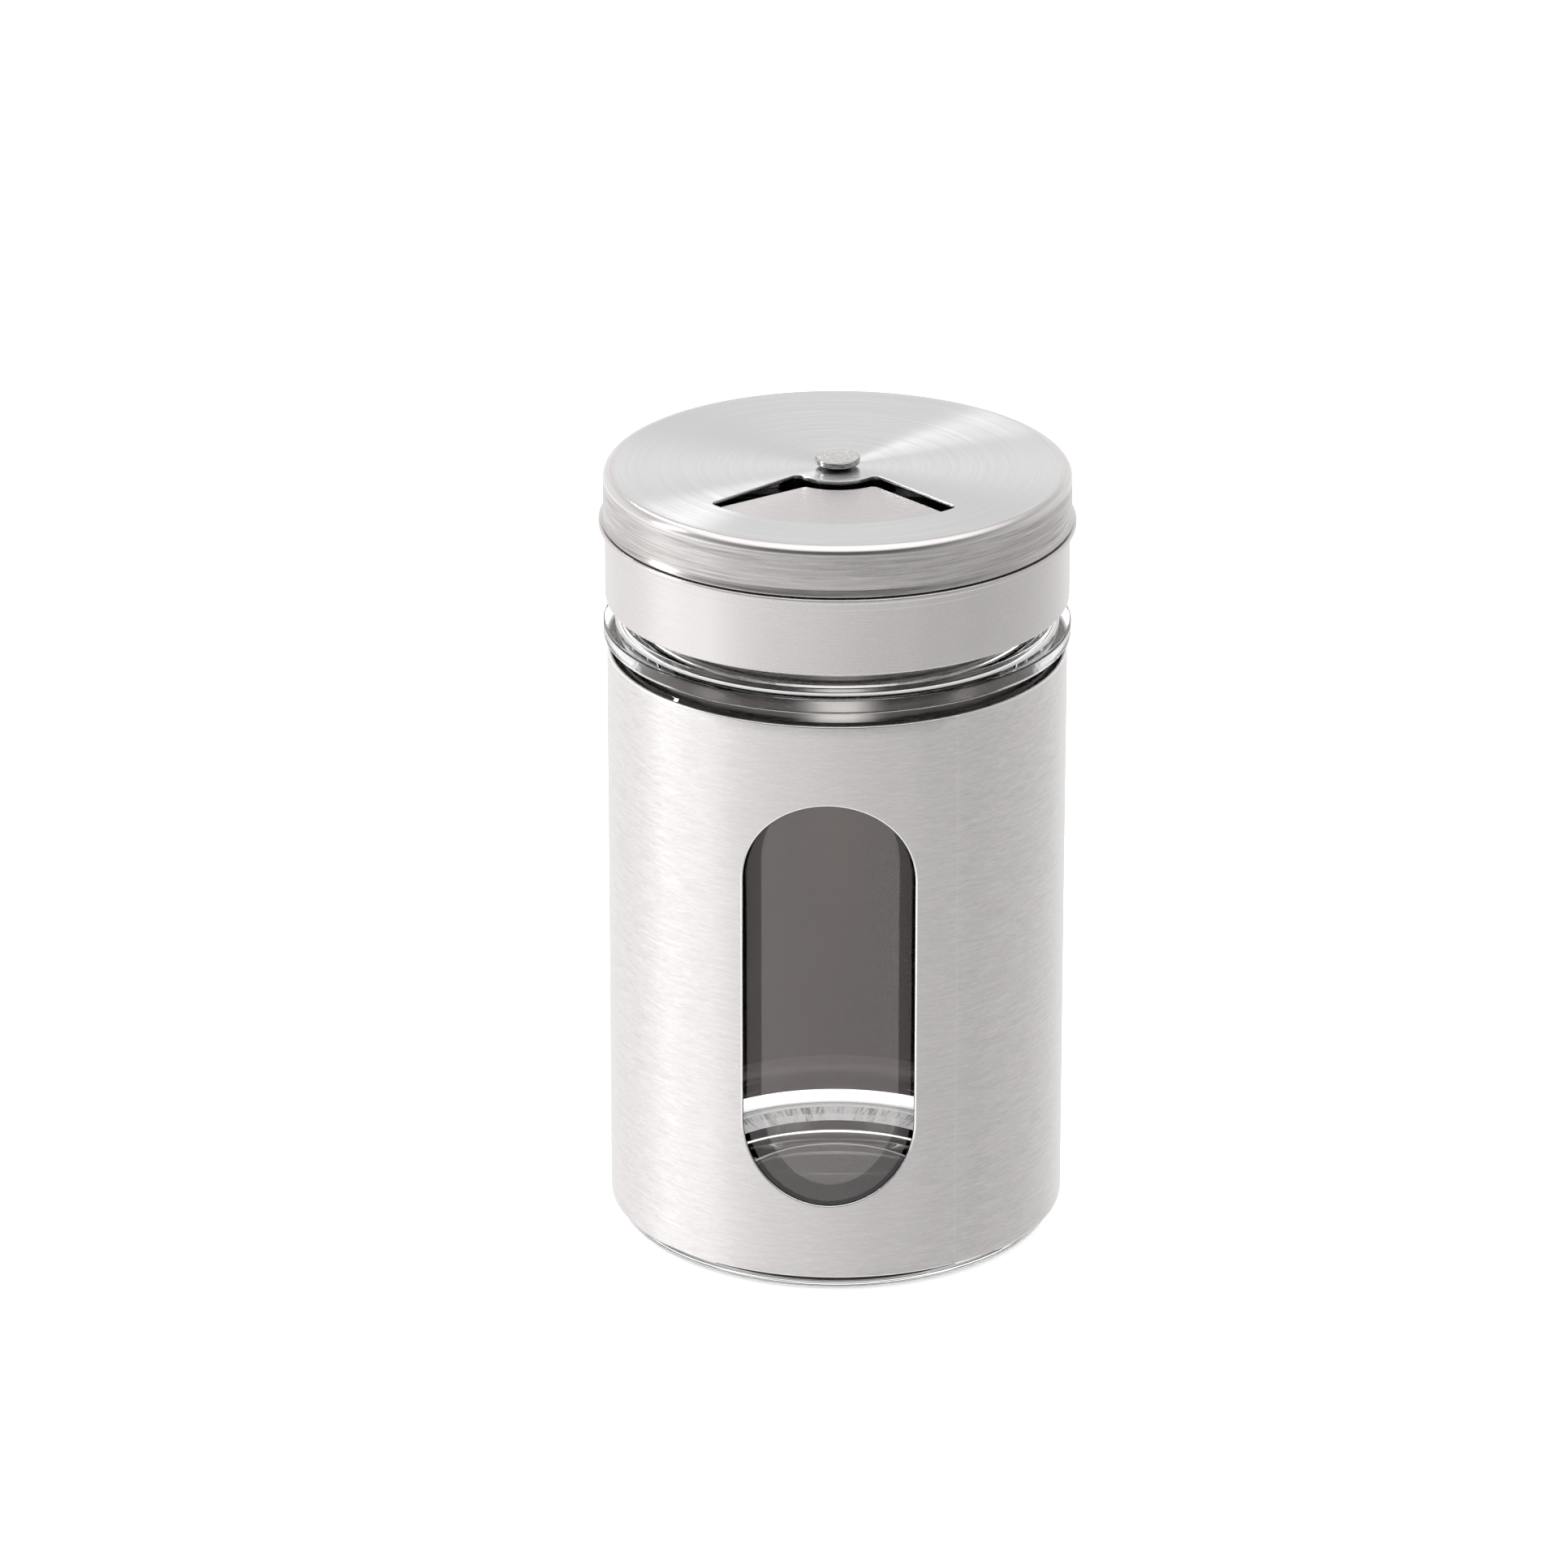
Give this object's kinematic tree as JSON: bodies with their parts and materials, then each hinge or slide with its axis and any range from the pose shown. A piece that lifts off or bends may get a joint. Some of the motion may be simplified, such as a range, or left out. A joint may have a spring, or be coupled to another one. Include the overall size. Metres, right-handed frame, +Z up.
{
  "type": "spice jar",
  "caption": "Glass spice jar in a windowed brushed-steel sleeve. Its screw-off steel lid has a turning top that uncovers a blank, a coarse or a fine pouring sector.",
  "frame": {"origin": "centre of the foot's lowest circle, on the surface that the jar stands on", "axes": "+Z up the jar's axis; the sleeve's window, the blank sector and the dispenser's opening face -Y; +X is to the right of someone who looks at the window"},
  "size_m": [0.0506, 0.0506, 0.0861],
  "materials": {
    "clear_glass": "clear pressed glass, polished, with faint mould waves",
    "sleeve_steel": "satin, brushed round the jar",
    "cap_steel": "satin, brushed round the cap",
    "dispenser_steel": "satin, spun in circles on its top and brushed round its skirt",
    "rivet_steel": "dull, tumbled",
    "liner_plastic": "moulded, black",
    "seal_rubber": "soft, matte"
  },
  "bodies": {
    "jar": {"glass_jar": "clear_glass", "sleeve": "sleeve_steel"},
    "seal": {"mouth_seal": "seal_rubber"},
    "lid": {"screw_cap": "cap_steel", "thread_insert": "liner_plastic", "pivot_rivet": "rivet_steel", "rivet_washer": "rivet_steel"},
    "dispenser": {"dispenser_cap": "dispenser_steel"}
  },
  "joints": [
    {"name": "lid_rise", "type": "slide", "parent": "jar", "child": "seal", "axis": [0, 0, 1], "range_m": [0, 0.0116]},
    {"name": "lid_unscrew", "type": "hinge", "parent": "seal", "child": "lid", "pos_m": [0, 0, 0.0816], "axis": [0, 0, 1], "range_deg": [0, 990]},
    {"name": "dispenser_turn", "type": "hinge", "parent": "lid", "child": "dispenser", "pos_m": [0, 0, 0.085], "axis": [0, 0, 1], "continuous": true}
  ],
  "couplings": [
    {"joint": "lid_rise", "follows": "lid_unscrew", "m_per_rad": 0.00066845}
  ]
}
